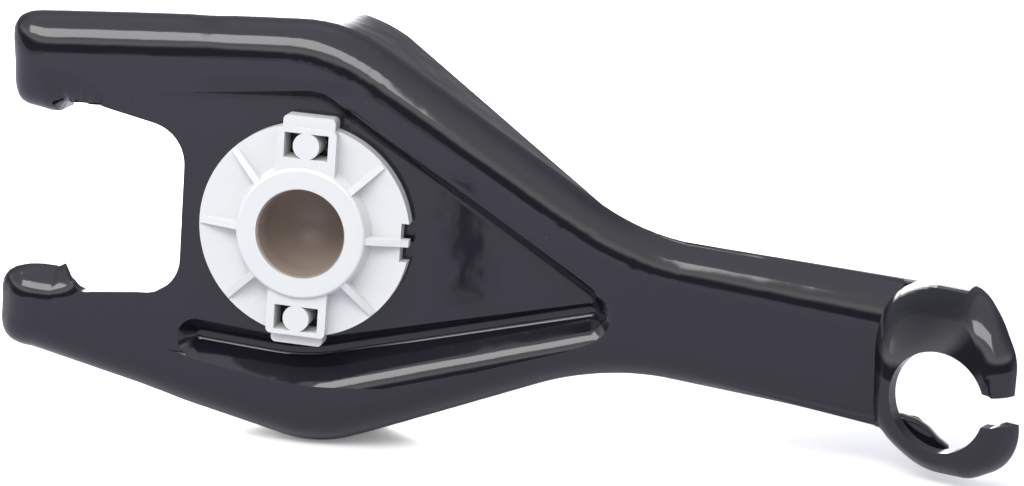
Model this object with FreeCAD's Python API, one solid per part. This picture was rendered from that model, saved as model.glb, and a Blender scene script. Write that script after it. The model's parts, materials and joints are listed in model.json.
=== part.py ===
"""Clutch release fork: a pressed-steel channel fork with a clipped-in plastic pivot bush.

Frame: the origin is on the axis of the pivot bush, in the front plane of the panel it sits on.
X runs along the lever, -Y is the side that the pivot ball comes from, +Z is up.
"""
import FreeCAD
import Part
import math
import os

V = FreeCAD.Vector

# ---- sheet and bends -------------------------------------------------------------------
SHEET = 3.5                     # steel thickness
BEND_R = 9.5                    # outer radius of the bend round the whole rim
BEYOND = 60.0                   # how far a cutting tool runs past what it cuts

# ---- web, seen from above: where its front face stands -----------------------------------
ARM_BACK = 0.15                 # the arms' web lies this far behind the panel
RAMP_START_X = -36.0            # left of here the arms are level
RAMP_END_X = 14.0               # from here on the two rails stand proud
RAIL_PROUD = 5.0                # height of the rails over the panel
NECK_X = 67.0                   # the lever begins to lean back here
LEVER_LEAN_DEG = 6.4
PROFILE_R = 160.0               # the web changes slope round this radius
LEVER_INTO_EYE = 3.3            # the lever's web ends this far short of the middle of the eye

# ---- flanges: how far back their rear edge stands ------------------------------------------
TIP_REAR_Y = 21.0
BODY_REAR_Y = 27.0
LEVER_REAR_Y = 18.6
EYE_JOIN_REAR_Y = 15.0
ARM_REAR_X = (-52.0, -24.0)     # the arms' flanges deepen between these
STEP_X = (81.0, 90.0)           # the body's flanges step down to the lever's between these
REAR_R = 4.0

# ---- plan of the fork: corners as X, Z and the radius that rounds them ---------------------
ARM_TOP_Z = 50.6
ARM_INNER_Z = 28.0
UPPER_TIP_X = -74.9
LOWER_TIP_X = -80.8
LOWER_TIP_TOP_Z = -11.0
LOWER_TIP_LOW_Z = -33.2
TIP_R = 10.5
MOUTH_UPPER_X = -57.0
MOUTH_LOWER_X = -63.0
MOUTH_R = 4.0
SHOULDER = (9.3, 40.0)          # X of the corner and its radius
NECK_TOP = (80.9, 1.8, 55.0)
LEVER_TOP_END_Z = -12.0
LEVER_LOW_END_Z = -47.5
NECK_LOW = (72.5, -31.9, 60.0)
HEEL = (0.9, -56.6, 32.0)       # the lowest point, that the fork stands on
ARM_KNEE = (-34.0, -48.0, 90.0)

# ---- crotch between the arms, a plain cut edge ----------------------------------------------
CROTCH_UPPER = (-30.2, 22.4, 10.0)
CROTCH_LOWER = (-33.5, -18.2, 9.5)
UPPER_NOTCH_X = (-58.8, -55.9)
UPPER_NOTCH_Z = 32.3
UPPER_NOTCH_FOOT = (-53.8, 28.9, 2.0)
LOWER_NOTCH = (-59.2, -18.0, 5.0)
LOWER_HOOK = (-66.2, -5.0)      # the cut leaves the arms' inner flanges at these two corners
UPPER_HOOK_Z = 20.3
NOTCH_R = 1.0

# ---- eye for the end of the release cable ----------------------------------------------------
EYE_X = 152.3
EYE_Y = -6.0
EYE_Z = -34.3
EYE_YAW_DEG = 25.0
EYE_HOLE_R = 12.2
EYE_LEFT = 19.2                 # from the hole's centre to the outer face, each way
EYE_RIGHT = 21.2
EYE_LOW = 20.5
EYE_TOP = 26.0
EYE_LOW_RIGHT_R = 15.0
EYE_TOP_RIGHT_R = 16.0
EYE_TOP_LEFT_R = 17.0
EYE_BEND_R = 6.8
EYE_REAR_LEFT = (-22.3, 16.5)   # the flange's rear edge runs straight between these, X from the eye
EYE_REAR_RIGHT = (23.7, -11.0)
SLOT_WIDTH = 8.0
LEVER_END_X = EYE_X - LEVER_INTO_EYE

# ---- ball seat, a cup in the bush ---------------------------------------------------------------
SEAT_R = 10.7                   # radius of the pivot ball
SEAT_WALL = 1.2
SEAT_STRAIGHT = 7.0             # straight wall of the cup in front of its round bottom
SEAT_GAP = 0.05
BORE_R = SEAT_R + SEAT_WALL + SEAT_GAP
LIP_R = SEAT_R + 0.4            # the bush's mouth, whose lip holds the cup in
LIP_T = 1.0

# ---- pivot bush: hub and flange -------------------------------------------------------------------
BUSH_TURN_DEG = 4.6
BOSS_R = BORE_R + 2.25          # the boss passes through the panel
BOSS_GAP = 0.2
HUB_TOP_R = BOSS_R + 1.7
HUB_BASE_R = BOSS_R + 2.8
HUB_HEIGHT = 7.3
HUB_EDGE_R = 0.8
FLANGE_R = HUB_BASE_R + 9.3
FLANGE_T = 3.5
RIB_T = 1.7
RIB_COUNT = 8
RIB_DROP = 0.5                  # a rib starts this far under the hub's top
RIB_TOE = 0.4                   # and is this high over the flange at its rim
RIB_SHORT = 0.2                 # and ends this far inside the rim
INTO_HUB = 1.0                  # ribs and clips run on into the hub, to this far from the mouth
NOTCH_HEIGHT = 9.5
NOTCH_DEPTH = 2.3

# ---- pivot bush: the two clips --------------------------------------------------------------------
PEG_R = 3.25
PEG_GAP = 0.25
PEG_AT_R = FLANGE_R - 4.9
HEAD_R = PEG_R + 0.85           # the peg's snap head, behind the sheet
HEAD_TIP_R = PEG_R - 0.6
HEAD_T = 3.0
PEG_SPLIT = 1.2
CLIP_WIDTH = 14.8
CLIP_HEIGHT = 6.4
CLIP_OUT_R = FLANGE_R - 0.7
CLIP_EDGE_R = 1.2
WINDOW_WIDTH = 10.9
WINDOW_HEIGHT = 6.2
TAB_WIDTH = 12.9
TAB_OUT_R = FLANGE_R + 2.0
TAB_HEIGHT = 4.4
TAB_INTO_CLIP = 2.0


# ---- pocket between the rails, which leaves room for the bush's tabs, and the trough in it --------
POCKET_WALL_DEG = 60.0          # slope of the pressed walls to the panel
POCKET_LEFT_X = -42.0
POCKET_TOP_Z = TAB_OUT_R + 4.0
POCKET_SHOULDER = (4.5, 12.0)   # X of the corner and its radius
POCKET_TIP = (73.8, -16.5, 2.6)
POCKET_BELLY = (-2.0, -TAB_OUT_R - 8.3, 40.0)
POCKET_LOW_LEFT_Z = -TAB_OUT_R - 4.3
POCKET_CORNER_R = 3.0
UPPER_EDGE_R = 2.5
CREASE_R = 1.5
TROUGH_WALL_DEG = 50.0
TROUGH_RISE_DEG = 2.0           # its floor rises to the right, and meets the panel near the pocket's tip
TROUGH_DEPTH = 3.6              # under the bush
TROUGH_WIDTH = 2.2
TROUGH_END_R = 1.05
TROUGH_LEFT = (-30.0, -30.2)
TROUGH_BELLY = (-2.0, -TAB_OUT_R - 5.3, 45.0)
TROUGH_RIGHT = (70.5, -18.6)
LOWER_EDGE_R = 6.5
BRIM_GAP = 0.01                 # the walls' rounding ends this far in front of the rails
LOFT_SPARE = 8.0                # a cutter's walls run on this far past the rails


# ======================= outlines ================================================================

def signed_area(corners):
    total = 0.0
    for first, second in zip(corners, corners[1:] + corners[:1]):
        total += first[0] * second[1] - second[0] * first[1]
    return total / 2.0


def inset(corners, distance):
    """The outline with every side moved inwards, its rounded corners kept parallel."""
    side = math.copysign(1.0, signed_area(corners))
    lines = []
    for first, second in zip(corners, corners[1:] + corners[:1]):
        dx, dz = second[0] - first[0], second[1] - first[1]
        length = math.hypot(dx, dz)
        dx, dz = dx / length, dz / length
        lines.append((first[0] - dz * side * distance, first[1] + dx * side * distance, dx, dz))
    moved = []
    for i, corner in enumerate(corners):
        ax, az, adx, adz = lines[i - 1]
        bx, bz, bdx, bdz = lines[i]
        cross = adx * bdz - adz * bdx
        along = ((bx - ax) * bdz - (bz - az) * bdx) / cross
        turn = math.copysign(1.0, cross * side)
        radius = corner[2] - turn * distance if corner[2] > 0 else 0.0
        moved.append((ax + adx * along, az + adz * along, radius))
    return moved


def in_plan(y):
    return lambda a, b: V(a, y, b)


def from_above(z):
    return lambda a, b: V(a, b, z)


def rounded_wire(corners, place):
    """A closed wire of straight sides joined by tangent arcs."""
    starts, middles, ends = [], [], []
    for i, (x, z, radius) in enumerate(corners):
        before, after = corners[i - 1], corners[(i + 1) % len(corners)]
        ux, uz = before[0] - x, before[1] - z
        wx, wz = after[0] - x, after[1] - z
        u_len, w_len = math.hypot(ux, uz), math.hypot(wx, wz)
        ux, uz, wx, wz = ux / u_len, uz / u_len, wx / w_len, wz / w_len
        half = math.acos(ux * wx + uz * wz) / 2.0
        reach = radius / math.tan(half)
        to_arc = (radius / math.sin(half) - radius) / math.hypot(ux + wx, uz + wz)
        starts.append(place(x + ux * reach, z + uz * reach))
        middles.append(place(x + (ux + wx) * to_arc, z + (uz + wz) * to_arc))
        ends.append(place(x + wx * reach, z + wz * reach))
    edges = []
    for i, corner in enumerate(corners):
        if corner[2] > 0:
            edges.append(Part.Arc(starts[i], middles[i], ends[i]).toShape())
        edges.append(Part.makeLine(ends[i], starts[(i + 1) % len(corners)]))
    return Part.Wire(edges)


def prism(corners, y_front, y_rear):
    """A solid with this plan, between two depths."""
    return Part.Face(rounded_wire(corners, in_plan(y_front))).extrude(V(0, y_rear - y_front, 0))


def slab(corners, z_low, z_high):
    """A solid whose outline is drawn from above, between two heights."""
    return Part.Face(rounded_wire(corners, from_above(z_low))).extrude(V(0, 0, z_high - z_low))


def pin(radius, y_front, y_rear, x=0.0, z=0.0):
    return Part.makeCylinder(radius, y_rear - y_front, V(x, y_front, z), V(0, 1, 0))


def box(x_from, x_to, y_from, y_to, z_from, z_to):
    return Part.makeBox(x_to - x_from, y_to - y_from, z_to - z_from, V(x_from, y_from, z_from))


def middle_of(edge):
    return edge.valueAt((edge.FirstParameter + edge.LastParameter) / 2.0)


def edges_at_depth(shape, y, reach=None):
    """Edges that lie wholly in the plane at this depth, within a distance of the Y axis."""
    found = []
    for edge in shape.Edges:
        bounds = edge.BoundBox
        near = reach is None or math.hypot(bounds.Center.x, bounds.Center.z) < reach
        if near and abs(bounds.YMin - y) < 1e-4 and abs(bounds.YMax - y) < 1e-4:
            found.append(edge)
    return found


def normal_of(face):
    u0, u1, v0, v1 = face.ParameterRange
    return face.normalAt((u0 + u1) / 2.0, (v0 + v1) / 2.0)


def front_rim(shape, x_limit):
    """Edges between the front faces and the side walls, left of a limit."""
    walls = [face for face in shape.Faces if abs(normal_of(face).y) < 0.01]
    fronts = [face for face in shape.Faces if normal_of(face).y < -0.5]
    found = []
    for wall in walls:
        for edge in wall.Edges:
            on_front = any(edge.isSame(other) for face in fronts for other in face.Edges)
            if on_front and middle_of(edge).x < x_limit:
                found.append(edge)
    return found


# ======================= fork =====================================================================

def fork_plan():
    return [
        (UPPER_TIP_X, ARM_TOP_Z, TIP_R),
        (SHOULDER[0], ARM_TOP_Z, SHOULDER[1]),
        NECK_TOP,
        (LEVER_END_X, LEVER_TOP_END_Z, 0.0),
        (LEVER_END_X, LEVER_LOW_END_Z, 0.0),
        NECK_LOW,
        HEEL,
        ARM_KNEE,
        (LOWER_TIP_X, LOWER_TIP_LOW_Z, TIP_R),
        (LOWER_TIP_X, LOWER_TIP_TOP_Z, TIP_R),
        (MOUTH_LOWER_X, LOWER_TIP_TOP_Z, MOUTH_R),
        (MOUTH_UPPER_X, ARM_INNER_Z, MOUTH_R),
        (UPPER_TIP_X, ARM_INNER_Z, TIP_R),
    ]


def web_front(inward):
    """Front line of the web from the tips to the eye, as X, Y and rounding."""
    lean = math.tan(math.radians(LEVER_LEAN_DEG))
    end_x = LEVER_END_X + BEYOND
    return [
        (LOWER_TIP_X - BEYOND, ARM_BACK + inward, 0.0),
        (RAMP_START_X, ARM_BACK + inward, PROFILE_R),
        (RAMP_END_X, inward - RAIL_PROUD, PROFILE_R),
        (NECK_X, inward - RAIL_PROUD, PROFILE_R),
        (end_x, inward - RAIL_PROUD + (end_x - NECK_X) * lean, 0.0),
    ]


def flange_rear():
    """Rear line of the flanges, from the eye back to the tips."""
    slope = (EYE_JOIN_REAR_Y - LEVER_REAR_Y) / (LEVER_END_X - STEP_X[1])
    end_x = LEVER_END_X + BEYOND
    return [
        (end_x, EYE_JOIN_REAR_Y + slope * BEYOND, 0.0),
        (STEP_X[1], LEVER_REAR_Y, REAR_R),
        (STEP_X[0], BODY_REAR_Y, REAR_R),
        (ARM_REAR_X[1], BODY_REAR_Y, REAR_R),
        (ARM_REAR_X[0], TIP_REAR_Y, REAR_R),
        (LOWER_TIP_X - BEYOND, TIP_REAR_Y, 0.0),
    ]


def open_rear():
    return [(LEVER_END_X + BEYOND, BEYOND, 0.0), (LOWER_TIP_X - BEYOND, BEYOND, 0.0)]


def body_form(inward):
    """The arms, body and lever as one solid: the skin when inward is 0, the hollow when it is the sheet."""
    plan = prism(inset(fork_plan(), inward), -BEYOND, BEYOND)
    rear = open_rear() if inward else flange_rear()
    side = slab(web_front(inward) + rear, -2 * BEYOND, 2 * BEYOND)
    form = plan.common(side)
    return form.makeFillet(BEND_R - inward, front_rim(form, LEVER_END_X - inward - 1.0))


def dished_tool(corners, floor_y, wall_deg, rise_deg, edge_r, inward):
    """A cutter for a pressed hollow: sloping wall, rounded crease and a rounded edge up to the rails."""
    slope = math.tan(math.radians(wall_deg))
    outset = inward * math.tan(math.radians(wall_deg / 2.0))
    brim_y = inward - RAIL_PROUD - BRIM_GAP
    floor_y = floor_y + inward
    rise = floor_y - brim_y + LOFT_SPARE
    floor = inset(corners, -outset)
    mouth = inset(floor, -rise / slope)
    wires = [rounded_wire(floor, in_plan(floor_y)), rounded_wire(mouth, in_plan(floor_y - rise))]
    cup = Part.makeLoft(wires, True, True)
    cup = cup.makeFillet(CREASE_R + inward, edges_at_depth(cup, floor_y))
    cup.rotate(V(0, 0, 0), V(0, 0, 1), -rise_deg)
    brim = box(-2 * BEYOND, 2 * BEYOND, brim_y - BEYOND, brim_y, -2 * BEYOND, 2 * BEYOND)
    tool = cup.fuse(brim).removeSplitter()
    if edge_r > inward:
        tool = tool.makeFillet(edge_r - inward, edges_at_depth(tool, brim_y, 1.2 * BEYOND))
    return tool


def pocket_plan():
    return [
        (POCKET_LEFT_X, POCKET_TOP_Z, POCKET_CORNER_R),
        (POCKET_SHOULDER[0], POCKET_TOP_Z, POCKET_SHOULDER[1]),
        POCKET_TIP,
        POCKET_BELLY,
        (POCKET_LEFT_X, POCKET_LOW_LEFT_Z, POCKET_CORNER_R),
    ]


def trough_plan():
    end_r = TROUGH_END_R
    belly_x, belly_z, belly_r = TROUGH_BELLY
    return [
        (TROUGH_LEFT[0], TROUGH_LEFT[1] + TROUGH_WIDTH, end_r),
        (belly_x, belly_z + TROUGH_WIDTH, belly_r - TROUGH_WIDTH),
        (TROUGH_RIGHT[0], TROUGH_RIGHT[1] + TROUGH_WIDTH, end_r),
        (TROUGH_RIGHT[0], TROUGH_RIGHT[1], end_r),
        TROUGH_BELLY,
        (TROUGH_LEFT[0], TROUGH_LEFT[1], end_r),
    ]


def place_eye(shape):
    """From the eye's own frame, front face at depth 0 and hole at its origin, to its place."""
    turned = shape.copy()
    turned.rotate(V(0, 0, 0), V(0, 0, 1), -EYE_YAW_DEG)
    turned.translate(V(EYE_X, EYE_Y, EYE_Z))
    return turned


def eye_plan():
    return [
        (-EYE_LEFT, EYE_TOP, EYE_TOP_LEFT_R),
        (EYE_RIGHT, EYE_TOP, EYE_TOP_RIGHT_R),
        (EYE_RIGHT, -EYE_LOW, EYE_LOW_RIGHT_R),
        (-EYE_LEFT, -EYE_LOW, EYE_LEFT),
    ]


def eye_form(inward):
    form = prism(inset(eye_plan(), inward), inward, BEYOND)
    form = place_eye(form.makeFillet(EYE_BEND_R - inward, edges_at_depth(form, inward)))
    if inward:
        return form
    left_x, right_x = EYE_X + EYE_REAR_LEFT[0], EYE_X + EYE_REAR_RIGHT[0]
    kept = [(left_x - BEYOND, EYE_REAR_LEFT[1], 0.0), (left_x, EYE_REAR_LEFT[1], 0.0),
            (right_x, EYE_REAR_RIGHT[1], 0.0), (right_x, -BEYOND, 0.0), (left_x - BEYOND, -BEYOND, 0.0)]
    return form.common(slab(kept, -2 * BEYOND, 2 * BEYOND))


def fork_form(inward):
    form = body_form(inward)
    form = form.cut(dished_tool(pocket_plan(), 0.0, POCKET_WALL_DEG, 0.0, UPPER_EDGE_R, inward))
    trough = dished_tool(trough_plan(), TROUGH_DEPTH, TROUGH_WALL_DEG, TROUGH_RISE_DEG, LOWER_EDGE_R, inward)
    form = form.cut(trough)
    return form.fuse(eye_form(inward))


def crotch_tool():
    corners = [
        CROTCH_UPPER,
        CROTCH_LOWER,
        LOWER_NOTCH,
        (LOWER_HOOK[0], LOWER_HOOK[1], NOTCH_R),
        (UPPER_NOTCH_X[0], UPPER_HOOK_Z, NOTCH_R),
        (UPPER_NOTCH_X[0], UPPER_NOTCH_Z, NOTCH_R),
        (UPPER_NOTCH_X[1], UPPER_NOTCH_Z, NOTCH_R),
        UPPER_NOTCH_FOOT,
    ]
    return prism(corners, -BEYOND, BEYOND)


def eye_opening():
    hole = pin(EYE_HOLE_R, -BEYOND, BEYOND)
    slot = box(0, BEYOND, -BEYOND, BEYOND, -SLOT_WIDTH / 2.0, SLOT_WIDTH / 2.0)
    return place_eye(hole.fuse(slot))


def about_pivot(shape, degrees):
    """A copy turned about the pivot axis; a positive turn leans the top to the right."""
    copy = shape.copy()
    copy.rotate(V(0, 0, 0), V(0, 1, 0), degrees)
    return copy


def panel_holes():
    holes = pin(BOSS_R + BOSS_GAP, -BEYOND, BEYOND)
    for side in (1, -1):
        holes = holes.fuse(pin(PEG_R + PEG_GAP, -BEYOND, BEYOND, 0.0, side * PEG_AT_R))
    return about_pivot(holes, BUSH_TURN_DEG)


def fork():
    shell = fork_form(0.0).cut(fork_form(SHEET))
    for tool in (crotch_tool(), eye_opening(), panel_holes()):
        shell = shell.cut(tool)
    return shell


# ======================= pivot bush ================================================================

def round_seat():
    """Y of the centre of the ball."""
    return -HUB_HEIGHT + LIP_T + SEAT_GAP + SEAT_STRAIGHT


def dome(radius, centre_y):
    """The rear half of a ball on the pivot axis."""
    ball = Part.makeSphere(radius, V(0, centre_y, 0))
    return ball.common(box(-radius, radius, centre_y, centre_y + radius, -radius, radius))


def bush_hub():
    hub = Part.makeCone(HUB_BASE_R, HUB_TOP_R, HUB_HEIGHT - FLANGE_T, V(0, -FLANGE_T, 0), V(0, -1, 0))
    return hub.makeFillet(HUB_EDGE_R, edges_at_depth(hub, -HUB_HEIGHT))


def bush_rib(angle):
    """A gusset that falls from the hub to the flange's rim."""
    start, toe = HUB_HEIGHT - RIB_DROP, FLANGE_T + RIB_TOE
    root = LIP_R + INTO_HUB
    rim = FLANGE_R - RIB_SHORT
    side = [V(root, -FLANGE_T / 2, 0), V(root, -start, 0), V(HUB_TOP_R, -start, 0),
            V(rim, -toe, 0), V(rim, -FLANGE_T / 2, 0)]
    rib = Part.Face(Part.makePolygon(side + side[:1])).extrude(V(0, 0, RIB_T))
    rib.translate(V(0, 0, -RIB_T / 2))
    return about_pivot(rib, angle)


def clip_block():
    """The raised block over a snap peg, with the lip outside it; drawn for the top one."""
    half = CLIP_WIDTH / 2.0
    block = box(-half, half, -CLIP_HEIGHT, -FLANGE_T / 2, LIP_R + INTO_HUB, CLIP_OUT_R)
    corners = [edge for edge in block.Edges
               if edge.BoundBox.YLength > 1.0 and middle_of(edge).z > CLIP_OUT_R - 1.0]
    block = block.makeFillet(CLIP_EDGE_R, corners)
    half = TAB_WIDTH / 2.0
    tab = box(-half, half, -TAB_HEIGHT, 0.0, CLIP_OUT_R - TAB_INTO_CLIP, TAB_OUT_R)
    corners = [edge for edge in tab.Edges
               if edge.BoundBox.YLength > 1.0 and middle_of(edge).z > TAB_OUT_R - 1.0]
    return block.fuse(tab.makeFillet(CLIP_EDGE_R, corners))


def snap_peg():
    """A split pin through the sheet, with a head that springs open behind it."""
    behind = SHEET + PEG_GAP
    peg = pin(PEG_R, -CLIP_HEIGHT, behind, 0.0, PEG_AT_R)
    head = Part.makeCone(HEAD_R, HEAD_TIP_R, HEAD_T, V(0, behind, PEG_AT_R), V(0, 1, 0))
    half = PEG_SPLIT / 2.0
    split = box(-HEAD_R, HEAD_R, SHEET / 2.0, behind + HEAD_T, PEG_AT_R - half, PEG_AT_R + half)
    return peg.fuse(head).cut(split)


def window():
    half = WINDOW_WIDTH / 2.0
    return box(-half, half, -BEYOND, 0.0, PEG_AT_R - WINDOW_HEIGHT / 2.0, PEG_AT_R + WINDOW_HEIGHT / 2.0)


def pivot_bush():
    solid = pin(FLANGE_R, -FLANGE_T, 0.0)
    solid = solid.cut(box(FLANGE_R - NOTCH_DEPTH, FLANGE_R + 1.0, -FLANGE_T, 0.0,
                          -NOTCH_HEIGHT / 2.0, NOTCH_HEIGHT / 2.0))
    solid = solid.fuse(bush_hub())
    for i in range(RIB_COUNT):
        angle = 360.0 / RIB_COUNT * i
        if angle % 180.0 != 90.0:
            solid = solid.fuse(bush_rib(angle))
    for turn in (0.0, 180.0):
        solid = solid.fuse(about_pivot(clip_block(), turn))
        solid = solid.cut(about_pivot(window(), turn))
        solid = solid.fuse(about_pivot(snap_peg(), turn))
    centre_y = round_seat()
    solid = solid.fuse(pin(BOSS_R, -FLANGE_T, centre_y))
    solid = solid.fuse(dome(BOSS_R, centre_y))
    solid = solid.cut(pin(LIP_R, -BEYOND, centre_y))
    solid = solid.cut(pin(BORE_R, -HUB_HEIGHT + LIP_T, centre_y))
    solid = solid.cut(dome(BORE_R, centre_y))
    return about_pivot(solid, BUSH_TURN_DEG)


def ball_seat():
    """A thin cup, round at its bottom, that the pivot ball turns in."""
    centre_y = round_seat()
    outer_r = SEAT_R + SEAT_WALL
    cup = pin(outer_r, centre_y - SEAT_STRAIGHT, centre_y).fuse(dome(outer_r, centre_y))
    hollow = pin(SEAT_R, -BEYOND, centre_y).fuse(dome(SEAT_R, centre_y))
    return cup.cut(hollow)


def main():
    os.makedirs("parts", exist_ok=True)
    for name, shape in (("fork", fork()), ("pivot_bush", pivot_bush()), ("ball_seat", ball_seat())):
        shape = shape.removeSplitter()
        print(name, shape.isValid(), len(shape.Solids), round(shape.Volume))
        shape.exportStep("parts/" + name + ".step")


main()
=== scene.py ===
# %% [markdown]
# # A clutch fork in the studio
# The fork is the lever that works a car's clutch: a steel sheet pressed into a channel and dipped in black
# gloss paint, with a white plastic bush clipped into its panel. The bush holds a brown cup for the pivot
# ball. The three solids come ready made. This lesson gives them a room to stand in, their finishes, and
# the small forms that the press leaves on the real fork.

# %% Load the solids
import bpy
import bmesh
import json
import math
from mathutils import Matrix, Vector


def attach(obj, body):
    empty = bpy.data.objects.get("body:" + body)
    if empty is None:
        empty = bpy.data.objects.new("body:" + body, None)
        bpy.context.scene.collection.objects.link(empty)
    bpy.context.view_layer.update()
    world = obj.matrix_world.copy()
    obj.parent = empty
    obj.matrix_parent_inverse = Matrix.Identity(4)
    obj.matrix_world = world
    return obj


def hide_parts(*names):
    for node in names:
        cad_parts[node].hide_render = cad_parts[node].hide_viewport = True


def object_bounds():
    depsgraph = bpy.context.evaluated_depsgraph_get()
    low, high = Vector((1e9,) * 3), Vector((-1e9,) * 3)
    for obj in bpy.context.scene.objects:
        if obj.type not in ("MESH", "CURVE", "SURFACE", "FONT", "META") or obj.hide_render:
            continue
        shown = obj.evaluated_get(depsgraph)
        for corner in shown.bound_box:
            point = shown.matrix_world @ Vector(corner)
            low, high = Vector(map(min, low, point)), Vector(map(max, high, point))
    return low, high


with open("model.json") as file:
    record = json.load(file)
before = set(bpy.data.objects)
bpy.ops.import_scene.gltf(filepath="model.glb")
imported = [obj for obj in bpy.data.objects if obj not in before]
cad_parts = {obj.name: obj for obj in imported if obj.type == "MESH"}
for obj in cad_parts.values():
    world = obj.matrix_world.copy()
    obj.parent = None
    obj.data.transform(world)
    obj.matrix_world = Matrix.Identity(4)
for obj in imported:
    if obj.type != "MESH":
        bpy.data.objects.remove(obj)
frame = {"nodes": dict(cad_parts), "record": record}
cad_low, cad_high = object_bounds()
mm = 0.001
print("solids:", sorted(frame["nodes"]), "from", tuple(cad_low), "to", tuple(cad_high))

# %% [markdown]
# The camera stands a little to the right of the pivot and a little above it. Its lens is long, so the
# fork is seen almost square on and its far end doesn't shrink. Two angles, a distance and the point it
# looks at say the whole place, which is easier to adjust than three coordinates.

# %% Camera
camera_azimuth, camera_elevation = 10.5, 13.0
camera_distance = 600 * mm
camera_target = Vector((50.62, 0.0, -1.65)) * mm

def aimed(azimuth, elevation):
    """The direction that points this many degrees to the right of the front, and this many up."""
    a, e = math.radians(azimuth), math.radians(elevation)
    return Vector((math.sin(a) * math.cos(e), -math.cos(a) * math.cos(e), math.sin(e)))

camera_data = bpy.data.cameras.new("camera")
camera_data.sensor_width = 36.0
camera_data.lens = 87.890625
camera = bpy.data.objects.new("camera", camera_data)
camera.location = camera_target + aimed(camera_azimuth, camera_elevation) * camera_distance
camera.rotation_euler = (math.radians(90 - camera_elevation), 0, math.radians(camera_azimuth))
bpy.context.scene.collection.objects.link(camera)
bpy.context.scene.camera = camera
print("camera at", tuple(camera.location), "with a lens of", camera_data.lens, "mm")

# %% [markdown]
# Gloss black has hardly a colour of its own: what is seen on it is the room. So the room comes first. It
# could be a picture of a studio wrapped round the world, but a few bands of grey by height are enough,
# and every one of them can be moved until its reflection lies where it should on the bends of the fork.
# Below the horizon both sides are as bright as the floor. In front a dark band stands on the horizon,
# with bright air over it; the back is dim, so that the flanges seen from above stay dark.

# %% Node helper
def node(tree, kind, **settings):
    """Adds a node and sets what is named, such as its operation."""
    made = tree.nodes.new(kind)
    for name, value in settings.items():
        setattr(made, name, value)
    return made

def eased_range(tree, value, start, end, low=0.0, high=1.0):
    """Goes softly from low to high while the value goes from start to end; start may be the larger."""
    made = node(tree, "ShaderNodeMapRange", interpolation_type="SMOOTHSTEP")
    for name, number in (("From Min", start), ("From Max", end), ("To Min", low), ("To Max", high)):
        made.inputs[name].default_value = number
    tree.links.new(value, made.inputs["Value"])
    return made.outputs["Result"]

print("helpers: node, eased_range")

# %% The direction that a ray of light comes from
world = bpy.data.worlds.new("studio")
world.use_nodes = True
bpy.context.scene.world = world
sky = world.node_tree
sky.nodes.clear()
direction = node(sky, "ShaderNodeTexCoord").outputs["Generated"]
axes = node(sky, "ShaderNodeSeparateXYZ")
sky.links.new(direction, axes.inputs[0])
print("world:", world.name)

# %% Bands of grey by height
def grey(value, blue=1.0):
    return (value, value, value * blue, 1)

def bands(*stops):
    """A colour by height. Each stop is a height in degrees over the horizon, and a grey."""
    spread = node(sky, "ShaderNodeMapRange")
    spread.inputs["From Min"].default_value = -1.0
    sky.links.new(axes.outputs["Z"], spread.inputs["Value"])
    made = node(sky, "ShaderNodeValToRGB")
    made.color_ramp.interpolation = "EASE"
    elements = made.color_ramp.elements
    while len(elements) < len(stops):
        elements.new(0.5)
    for element, (degrees, colour) in zip(elements, stops):
        element.position = (math.sin(math.radians(degrees)) + 1) / 2
        element.color = colour
    sky.links.new(spread.outputs["Result"], made.inputs["Fac"])
    return made.outputs["Color"]

front = bands((-90, grey(0.9)), (-1, grey(0.9)), (1, grey(0.10)), (15, grey(0.10)),
              (24, grey(1.8)), (38, grey(1.15)), (80, grey(1.1, 1.1)))
back = bands((-90, grey(0.9)), (-1, grey(0.9)), (10, grey(0.5)), (16, grey(0.20, 1.15)),
             (40, grey(0.35, 1.2)), (80, grey(0.9, 1.1)))
print("bands of grey for the front and the back of the room")

# %% The front runs over into the back
front_ends, back_starts = -0.35, 0.25
turn = node(sky, "ShaderNodeMapRange")
turn.inputs["From Min"].default_value = front_ends
turn.inputs["From Max"].default_value = back_starts
sky.links.new(axes.outputs["Y"], turn.inputs["Value"])
room = node(sky, "ShaderNodeMix", data_type="RGBA")
sky.links.new(turn.outputs["Result"], room.inputs["Factor"])
sky.links.new(front, room.inputs["A"])
sky.links.new(back, room.inputs["B"])
print("the room turns from front to back between", front_ends, "and", back_starts)

# %% [markdown]
# The level top of the upper arm is almost white on the real fork, while the sloping shoulder beside it is
# grey. A white card low down behind the fork does that, because only the level part mirrors it.

# %% A white card behind the fork
def card(below, azimuth, elevation, inner, outer, value):
    """Adds a soft round patch of light, from inner to outer degrees wide, to the colour below."""
    facing = node(sky, "ShaderNodeVectorMath", operation="DOT_PRODUCT")
    facing.inputs[1].default_value = aimed(azimuth, elevation)
    sky.links.new(direction, facing.inputs[0])
    glow = eased_range(sky, facing.outputs["Value"], math.cos(math.radians(outer)),
                       math.cos(math.radians(inner)), high=value)
    added = node(sky, "ShaderNodeVectorMath", operation="ADD")
    sky.links.new(below, added.inputs[0])
    sky.links.new(glow, added.inputs[1])
    return added.outputs["Vector"]

lit_room = card(room.outputs["Result"], azimuth=200, elevation=2, inner=14, outer=22, value=6.0)
print("a card behind the fork, to its left")

# %% [markdown]
# The camera should see plain white behind the fork, not the bands. A Light Path node knows which rays
# come straight from the camera, so those get white and all others get the room.

# %% White for the camera, the room for everything else
def camera_or_other(tree, for_camera, for_other):
    """A shader that the camera sees as one thing, and light and reflections as another."""
    ray = node(tree, "ShaderNodeLightPath")
    chosen = node(tree, "ShaderNodeMixShader")
    tree.links.new(ray.outputs["Is Camera Ray"], chosen.inputs["Fac"])
    tree.links.new(for_other.outputs[0], chosen.inputs[1])
    tree.links.new(for_camera.outputs[0], chosen.inputs[2])
    return chosen.outputs[0]

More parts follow.
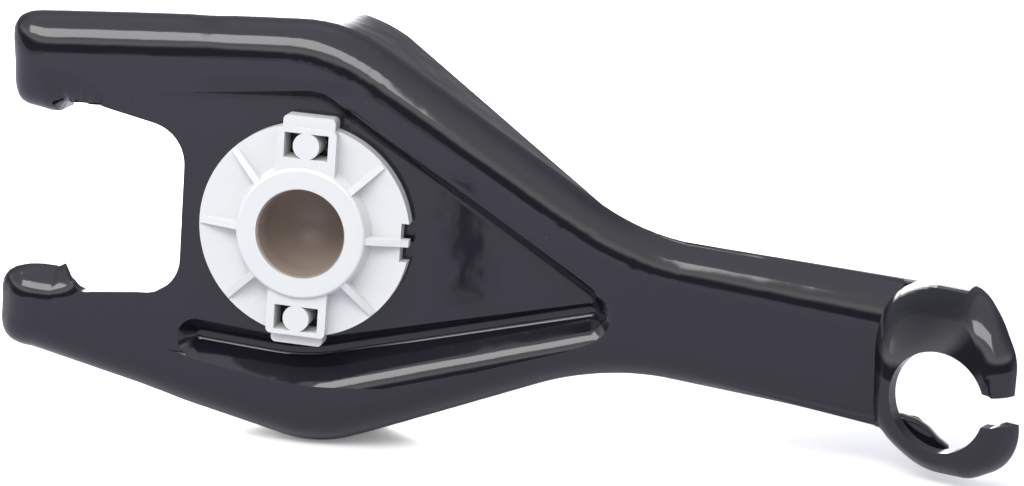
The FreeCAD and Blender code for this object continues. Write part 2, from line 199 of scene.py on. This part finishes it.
room_light = node(sky, "ShaderNodeBackground")
room_light.inputs["Strength"].default_value = 1.25
sky.links.new(lit_room, room_light.inputs["Color"])
white_backdrop = node(sky, "ShaderNodeBackground")
white_backdrop.inputs["Color"].default_value = (1, 1, 1, 1)
white_backdrop.inputs["Strength"].default_value = 1.05
output = node(sky, "ShaderNodeOutputWorld")
sky.links.new(camera_or_other(sky, white_backdrop, room_light), output.inputs["Surface"])
print("backdrop strength", white_backdrop.inputs["Strength"].default_value)

# %% [markdown]
# The floor is white to the camera and keeps the contact shadow, which needs a floor that is only just
# bright enough. In the paint the same floor should be a soft bluish grey, so reflections see a plain
# diffuse surface instead.

# %% Floor
def put_in_scene(name, shape):
    """Turns a finished bmesh into an object."""
    mesh = bpy.data.meshes.new(name)
    shape.to_mesh(mesh)
    shape.free()
    made = bpy.data.objects.new(name, mesh)
    bpy.context.scene.collection.objects.link(made)
    return made

def new_material(name):
    material = bpy.data.materials.new(name)
    material.use_nodes = True
    return material, material.node_tree, material.node_tree.nodes["Principled BSDF"]

shape = bmesh.new()
bmesh.ops.create_grid(shape, x_segments=1, y_segments=1, size=3.0)
floor = put_in_scene("floor", shape)
floor.location.z = cad_low.z
floor_white, tree, seen = new_material("floor_white")
seen.inputs["Base Color"].default_value = (0.85, 0.85, 0.87, 1)
seen.inputs["Roughness"].default_value = 0.22
seen.inputs["Emission Color"].default_value = (1, 1, 1, 1)
seen.inputs["Emission Strength"].default_value = 0.20
mirrored = node(tree, "ShaderNodeBsdfDiffuse")
mirrored.inputs["Color"].default_value = (0.62, 0.61, 0.69, 1)
tree.links.new(camera_or_other(tree, seen, mirrored), tree.nodes["Material Output"].inputs["Surface"])
floor.data.materials.append(floor_white)
print("floor at", floor.location.z)

# %% [markdown]
# One wide soft light stands high in front, a little to the left. Its reflection is the long pale streak
# that runs along the bend of the upper arm, so its width decides how far that streak reaches.

# %% Key light
key_width, key_height, key_watts = 1.74, 0.62, 22
key_distance = 1.5
lit_point = Vector((0.045, 0, 0))

key_data = bpy.data.lights.new("key", "AREA")
key_data.shape = "RECTANGLE"
key_data.size, key_data.size_y = key_width, key_height
key_data.energy = key_watts
key = bpy.data.objects.new("key", key_data)
towards_key = aimed(-18, 50)
key.location = lit_point + towards_key * key_distance
key.rotation_euler = towards_key.to_track_quat("Z", "Y").to_euler()
key.visible_camera = False
bpy.context.scene.collection.objects.link(key)
bpy.context.scene.view_settings.view_transform = "Standard"
print("key light at", tuple(key.location))

# %% [markdown]
# Beside the bush the panel shows one narrow dark streak, the reflection of something thin and dark in
# front of it. A small stand does this better than another band in the room, because it is near: its
# reflection stays beside the bush and falls nowhere else.

# %% Dark post
post_place = Vector((10, -144, -35)) * mm
post_size = Vector((6, 2, 36)) * mm

shape = bmesh.new()
bmesh.ops.create_cube(shape, size=1.0, matrix=Matrix.Translation(post_place) @ Matrix.Diagonal((*post_size, 1)))
post = put_in_scene("dark_post", shape)
matt_black, tree, surface = new_material("matt_black")
surface.inputs["Base Color"].default_value = (0.01, 0.01, 0.01, 1)
surface.inputs["Roughness"].default_value = 1.0
post.data.materials.append(matt_black)
post.visible_camera = False
post.visible_shadow = False
post.visible_diffuse = False
print("dark post", tuple(post_size), "metres")

# %% [markdown]
# The paint is a thick gloss dip, nearly black with a breath of blue. The film is as smooth as glass but
# uneven, so what it mirrors wobbles a little, and here and there a speck of dust stands up in it. All of
# that could be modelled, but it is less than a tenth of a millimetre high, so bump is the right tool.
# The bumps are stacked: each one starts from the normal that the one below puts out.

# %% Bump, waves and specks
def bump_on(tree, height, depth, below=None):
    """Lifts the surface by depth metres where the height is 1, on top of the bump below."""
    bump = node(tree, "ShaderNodeBump")
    bump.inputs["Distance"].default_value = depth
    tree.links.new(height, bump.inputs["Height"])
    if below is not None:
        tree.links.new(below, bump.inputs["Normal"])
    return bump.outputs["Normal"]

def waves(tree, place, size):
    """Soft noise from 0 to 1, whose waves are size metres wide."""
    noise = node(tree, "ShaderNodeTexNoise")
    noise.inputs["Scale"].default_value = 1.0 / size
    noise.inputs["Detail"].default_value = 1.0
    tree.links.new(place, noise.inputs["Vector"])
    return noise.outputs["Fac"]

def specks(tree, place, spacing, radius):
    """Round specks, about one in each cell of this spacing: 1 in their middle, 0 outside."""
    cells = node(tree, "ShaderNodeTexVoronoi")
    cells.inputs["Scale"].default_value = 1.0 / spacing
    tree.links.new(place, cells.inputs["Vector"])
    return eased_range(tree, cells.outputs["Distance"], radius / spacing, 0.0)

print("helpers: bump_on, waves, specks")

# %% [markdown]
# Two forms of the press are too soft to have edges and too shallow to change the outline: a rail that
# stands up over the bush, and the eye's face, which curves back like a hood towards its top. On gloss
# black even these show, as a dark band and a pale patch. Their heights are worked out from the place on
# the fork, multiplied with masks that fade them out at their ends.

# %% Arithmetic on heights
def combine(tree, kind, *values):
    """Joins two or more values by one kind of arithmetic; each is a socket or a number."""
    total = values[0]
    for value in values[1:]:
        step = node(tree, "ShaderNodeMath", operation=kind)
        for socket, term in zip(step.inputs, (total, value)):
            if isinstance(term, (int, float)):
                socket.default_value = term
            else:
                tree.links.new(term, socket)
        total = step.outputs[0]
    return total

def span(tree, value, start, end, low=0.0, high=1.0):
    """The eased range, with start and end in millimetres."""
    return eased_range(tree, value, start * mm, end * mm, low, high)

print("helpers: combine, span")

# %% The rail over the bush
rail_height = 0.85

def rail(tree, along, up):
    """Height of the rail in millimetres; along and up are the X and Z of the place."""
    rise = span(tree, up, 32.8, 37.6, high=rail_height)
    return combine(tree, "MULTIPLY", rise, span(tree, along, -30, -19), span(tree, along, 18, 4))

print("rail", rail_height, "mm high")

# %% The place and turn of the eye
mounts = {mount["name"]: mount for mount in frame["record"]["mounts"]}
eye_axis = Vector(mounts["cable_eye"]["axis"])
half_sheet = mounts["cable_eye"]["dims"]["length_mm"] / 2
eye_middle = Vector(mounts["cable_eye"]["pos_m"]) / mm + eye_axis * half_sheet
eye_turn = math.atan2(-eye_axis.x, -eye_axis.y)
print("middle of the eye's face", tuple(eye_middle), "turned by", round(math.degrees(eye_turn), 2), "degrees")

# %% The hood of the eye
hood_radius = 20

def hood(tree, along, up):
    """Height of the hood in millimetres, which falls with the square of the height over the eye's middle."""
    over = combine(tree, "MAXIMUM", combine(tree, "ADD", up, -eye_middle.z * mm), 0.0)
    fall = combine(tree, "MULTIPLY", over, over, -1.0 / (2 * hood_radius * mm * mm))
    weaker_right = span(tree, along, 167, 140, low=0.3)
    normal = node(tree, "ShaderNodeSeparateXYZ")
    tree.links.new(node(tree, "ShaderNodeNewGeometry").outputs["Normal"], normal.inputs[0])
    turned_left = eased_range(tree, normal.outputs["X"], -0.15, -0.35)
    past_lever = span(tree, along, 143.5, 147)
    on_eye = combine(tree, "MULTIPLY", combine(tree, "MAXIMUM", past_lever, turned_left),
                     span(tree, along, 130, 132))
    return combine(tree, "MULTIPLY", fall, weaker_right, on_eye)

print("hood with a radius of", hood_radius, "mm")

# %% Black dip paint
wave_size, wave_depth = 9 * mm, 0.10 * mm
ripple_size, ripple_depth = 2.2 * mm, 0.008 * mm
speck_spacing, speck_radius, speck_height = 7 * mm, 0.28 * mm, 0.12 * mm

paint, tree, surface = new_material("black_dip_paint")
surface.inputs["Base Color"].default_value = (0.0062, 0.006, 0.0095, 1)
surface.inputs["Roughness"].default_value = 0.10
surface.inputs["IOR"].default_value = 1.5
place = node(tree, "ShaderNodeTexCoord").outputs["Object"]
place_axes = node(tree, "ShaderNodeSeparateXYZ")
tree.links.new(place, place_axes.inputs[0])
along, up = place_axes.outputs["X"], place_axes.outputs["Z"]
pressed_forms = combine(tree, "ADD", rail(tree, along, up), hood(tree, along, up))
skin = bump_on(tree, pressed_forms, 1 * mm)
skin = bump_on(tree, waves(tree, place, wave_size), wave_depth, skin)
skin = bump_on(tree, waves(tree, place, ripple_size), ripple_depth, skin)
skin = bump_on(tree, specks(tree, place, speck_spacing, speck_radius), speck_height, skin)
tree.links.new(skin, surface.inputs["Normal"])
print("paint:", len(tree.nodes), "nodes")

# %% [markdown]
# The bush is moulded in white plastic that lets a little light in, so its thin ribs glow instead of
# going grey. It is not pure white: under a strong light that would leave no room for its shading.

# %% White plastic
white_plastic, tree, surface = new_material("white_plastic")
surface.inputs["Base Color"].default_value = (0.56, 0.575, 0.565, 1)
surface.inputs["Roughness"].default_value = 0.42
surface.inputs["Subsurface Weight"].default_value = 0.15
surface.inputs["Subsurface Scale"].default_value = 2 * mm
print("made", white_plastic.name)

# %% [markdown]
# The cup for the ball is a harder, slippery plastic in a warm grey brown, and a little smoother.

# %% Brown plastic
brown_plastic, tree, surface = new_material("taupe_plastic")
surface.inputs["Base Color"].default_value = (0.27, 0.215, 0.18, 1)
surface.inputs["Roughness"].default_value = 0.38

for piece, material in (("pivot_bush", white_plastic), ("ball_seat", brown_plastic)):
    for slot in frame["nodes"][piece].material_slots:
        slot.material = material
    print(piece, "is", material.name)

# %% [markdown]
# The lever's lower flange runs on behind the eye, and its rounded end is seen through the hole. It is one
# outline with the sheet's thickness: a face, extruded backwards, with its edges bevelled as the paint
# rounds them.

# %% The flange's end behind the eye
gusset_front, sheet = 4.2, 2 * half_sheet
gusset_outline = [(139.5, -40.8), (144.5, -41.1), (148.2, -42.2), (151.0, -44.0), (153.4, -46.6),
                  (156.0, -48.6), (151.0, -50.0), (145.0, -47.6), (139.5, -43.6)]

shape = bmesh.new()
face = shape.faces.new([shape.verts.new((x * mm, gusset_front * mm, z * mm)) for x, z in gusset_outline])
grown = bmesh.ops.extrude_face_region(shape, geom=[face])
bmesh.ops.translate(shape, vec=(0, sheet * mm, 0),
                    verts=[part for part in grown["geom"] if isinstance(part, bmesh.types.BMVert)])
bmesh.ops.bevel(shape, geom=list(shape.edges), offset=0.6 * mm, segments=3, affect="EDGES", profile=0.5,
                material=-1)
bmesh.ops.recalc_face_normals(shape, faces=shape.faces)
gusset = put_in_scene("eye_gusset", shape)
gusset.data.materials.append(paint)
for face in gusset.data.polygons:
    face.use_smooth = True
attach(gusset, "root")
print("flange end:", len(gusset.data.polygons), "faces")

# %% [markdown]
# The press leaves the tips of the arms squarer and a little shorter than the solid has them, and the rim
# of the eye runs up into a soft horn. A sculpted copy could show that, but it would lose the solid's
# own normals, and gloss shows every one. So the copy keeps its faces and its normals, and only its
# points move, by small soft steps. The functions below say, in millimetres, how far.

# %% Soft steps and squarer corners
def smooth_step(value, start, end):
    """0 before start, 1 past end, and a soft S between them; start may be the larger one."""
    share = min(1.0, max(0.0, (value - start) / (end - start)))
    return share * share * (3 - 2 * share)

def dent(value, middle, width):
    """1 at the middle, and nearly 0 two widths away from it."""
    return math.exp(-((value - middle) / width) ** 2)

def square_corner(point, centre, radius, side, amount):
    """Pushes a round corner out along its diagonal. The centre of its arc is an X and a Z, and side
    says which way the corner points."""
    across, up = (point.x - centre[0]) * side[0], (point.z - centre[1]) * side[1]
    if across <= 0 or up <= 0:
        return Vector((0, 0, 0))
    near_diagonal = (2 * across * up) / (across ** 2 + up ** 2)
    far = smooth_step(math.hypot(across, up) / radius, 0.3, 1.0)
    return Vector((side[0], 0, side[1])) * amount * near_diagonal ** 2 * far * math.sqrt(0.5)

print("helpers: smooth_step, dent, square_corner")

# %% Where the tips are
tip_radius = 10.5
behind_sheet = 3.6
upper_left, upper_low, upper_top = -74.9, 28.0, cad_high.z / mm
lower_left, lower_low, lower_top = cad_low.x / mm, -33.2, -11.0
print("upper tip", (upper_left, upper_low, upper_top), "lower tip", (lower_left, lower_low, lower_top))

# %% [markdown]
# The upper tip gets shorter, its two corners squarer and its lower edge drops. The solid's inner flange
# leaves a notch and a hook there, which are levelled, and a small drop of metal hangs under the tip.

# %% Upper tip
def press_upper_tip(point):
    moved = point.copy()
    middle_x = upper_left + tip_radius
    moved.x -= 1.5 * smooth_step(point.x, -52, -74)
    moved += square_corner(point, (middle_x, upper_top - tip_radius), tip_radius, (-1, 1), 2.2)
    moved += square_corner(point, (middle_x, upper_low + tip_radius), tip_radius, (-1, -1), 2.6)
    moved.z -= 1.4 * smooth_step(point.z, 38, 29) * smooth_step(point.x, -52, -60)
    notch_floor, notch_top = 28.6, 32.6
    if -60.5 < point.x < -52 and notch_floor < point.z < notch_top:
        moved.z = notch_floor
    # This limit presses the hook flat. It has no end along the fork, so below this height it also
    # presses the upper flange of the lever flat, where the real fork keeps it: a fault that is known.
    if point.z < 34:
        moved.y = min(moved.y, behind_sheet + 18 * smooth_step(point.x, -60, -66))
    if -62 < point.x < -55:
        moved.z = max(moved.z, 28.9)
    moved.z -= 1.4 * dent(point.x, -65, 2.6) * smooth_step(point.z, 38, 30)
    return moved

print("the upper tip's corner goes to", tuple(press_upper_tip(Vector((upper_left, 0, upper_top)))))

# %% [markdown]
# The lower tip is pressed lower and less deep, its upper edge dips once, and the flange behind it ends
# in a slope instead of a spur.

# %% Lower tip
def press_lower_tip(point):
    moved = point.copy()
    middle_x = lower_left + tip_radius
    on_tip = smooth_step(point.x, -52, -62)
    upper_edge = smooth_step(point.z, -26, -11.5)
    moved.x -= 1.3 * smooth_step(point.x, -56, -80)
    moved.z -= 2.6 * upper_edge * on_tip
    moved.y -= 0.42 * max(0.0, point.y - behind_sheet) * on_tip * smooth_step(point.z, -34, -24)
    moved += square_corner(point, (middle_x, lower_low + tip_radius), tip_radius, (-1, -1), 2.0)
    moved += square_corner(point, (middle_x, lower_top - tip_radius), tip_radius, (-1, 1), 1.4)
    moved.z -= 0.7 * dent(point.x, -67.6, 1.6) * upper_edge
    if -68 < point.x < -57:
        moved.z = min(moved.z, -13.2 - 3.6 * smooth_step(point.x, -65.5, -60.5))
    # As at the upper tip, this limit reaches the lever's upper flange too.
    if point.z > -19:
        moved.y = min(moved.y, behind_sheet + 11 * smooth_step(point.x, -62, -68.5))
    return moved

print("the lower tip's corner goes to", tuple(press_lower_tip(Vector((lower_left, 0, lower_top)))))

# %% [markdown]
# The eye's rim is drawn in towards its lower right and lifted at its top. Both moves point away from the
# middle of the hole and grow from nothing at its edge, so the hole itself stays round for the cable.

# %% Rim of the eye
hole_edge, rim_edge = 13.0, 19.0

def move_rim(point):
    across = (point.x - eye_middle.x) * math.cos(eye_turn) - (point.y - eye_middle.y) * math.sin(eye_turn)
    up = point.z - eye_middle.z
    angle = math.degrees(math.atan2(up, across))
    push = (-4.1 * smooth_step(angle, 78, 44)
            + 1.5 * smooth_step(angle, 14, -14)
            + 1.0 * smooth_step(angle, -56, -74)
            + 1.6 * smooth_step(angle, -120, -160)
            + 1.8 * smooth_step(angle, 60, 84) * smooth_step(angle, 150, 112))
    outward = Vector((across * math.cos(eye_turn), -across * math.sin(eye_turn), up)).normalized()
    return outward * push * smooth_step(math.hypot(across, up), hole_edge, rim_edge)

print("the rim moves between", hole_edge, "and", rim_edge, "mm from the middle of the hole")

# %% End of the lever and whole fork
eye_begins, flange_end_begins = 132, 138

def press_eye(point):
    moved = point + move_rim(point)
    if point.x > flange_end_begins and point.y > 4 and point.z < -30:
        moved.z = min(moved.z, -44.0)
    return moved

def press(point):
    """Where a point of the solid, in millimetres, lies on the pressed and painted fork."""
    if point.x > eye_begins:
        return press_eye(point)
    return press_upper_tip(point) if point.z > 0 else press_lower_tip(point)

print("the eye begins at", eye_begins, "mm")

# %% [markdown]
# Now the copy is made and its points are moved. It takes the place of the solid, so it rides on the
# same body.

# %% The fork's painted skin
skin_mesh = frame["nodes"]["fork"].data.copy()
skin_mesh.name = "pressed_fork"
for corner in skin_mesh.vertices:
    corner.co = press(corner.co / mm) * mm
skin_mesh.materials.clear()
skin_mesh.materials.append(paint)
fork = bpy.data.objects.new("pressed_fork", skin_mesh)
bpy.context.scene.collection.objects.link(fork)
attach(fork, "root")
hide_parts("fork")
print("fork:", len(skin_mesh.vertices), "points")
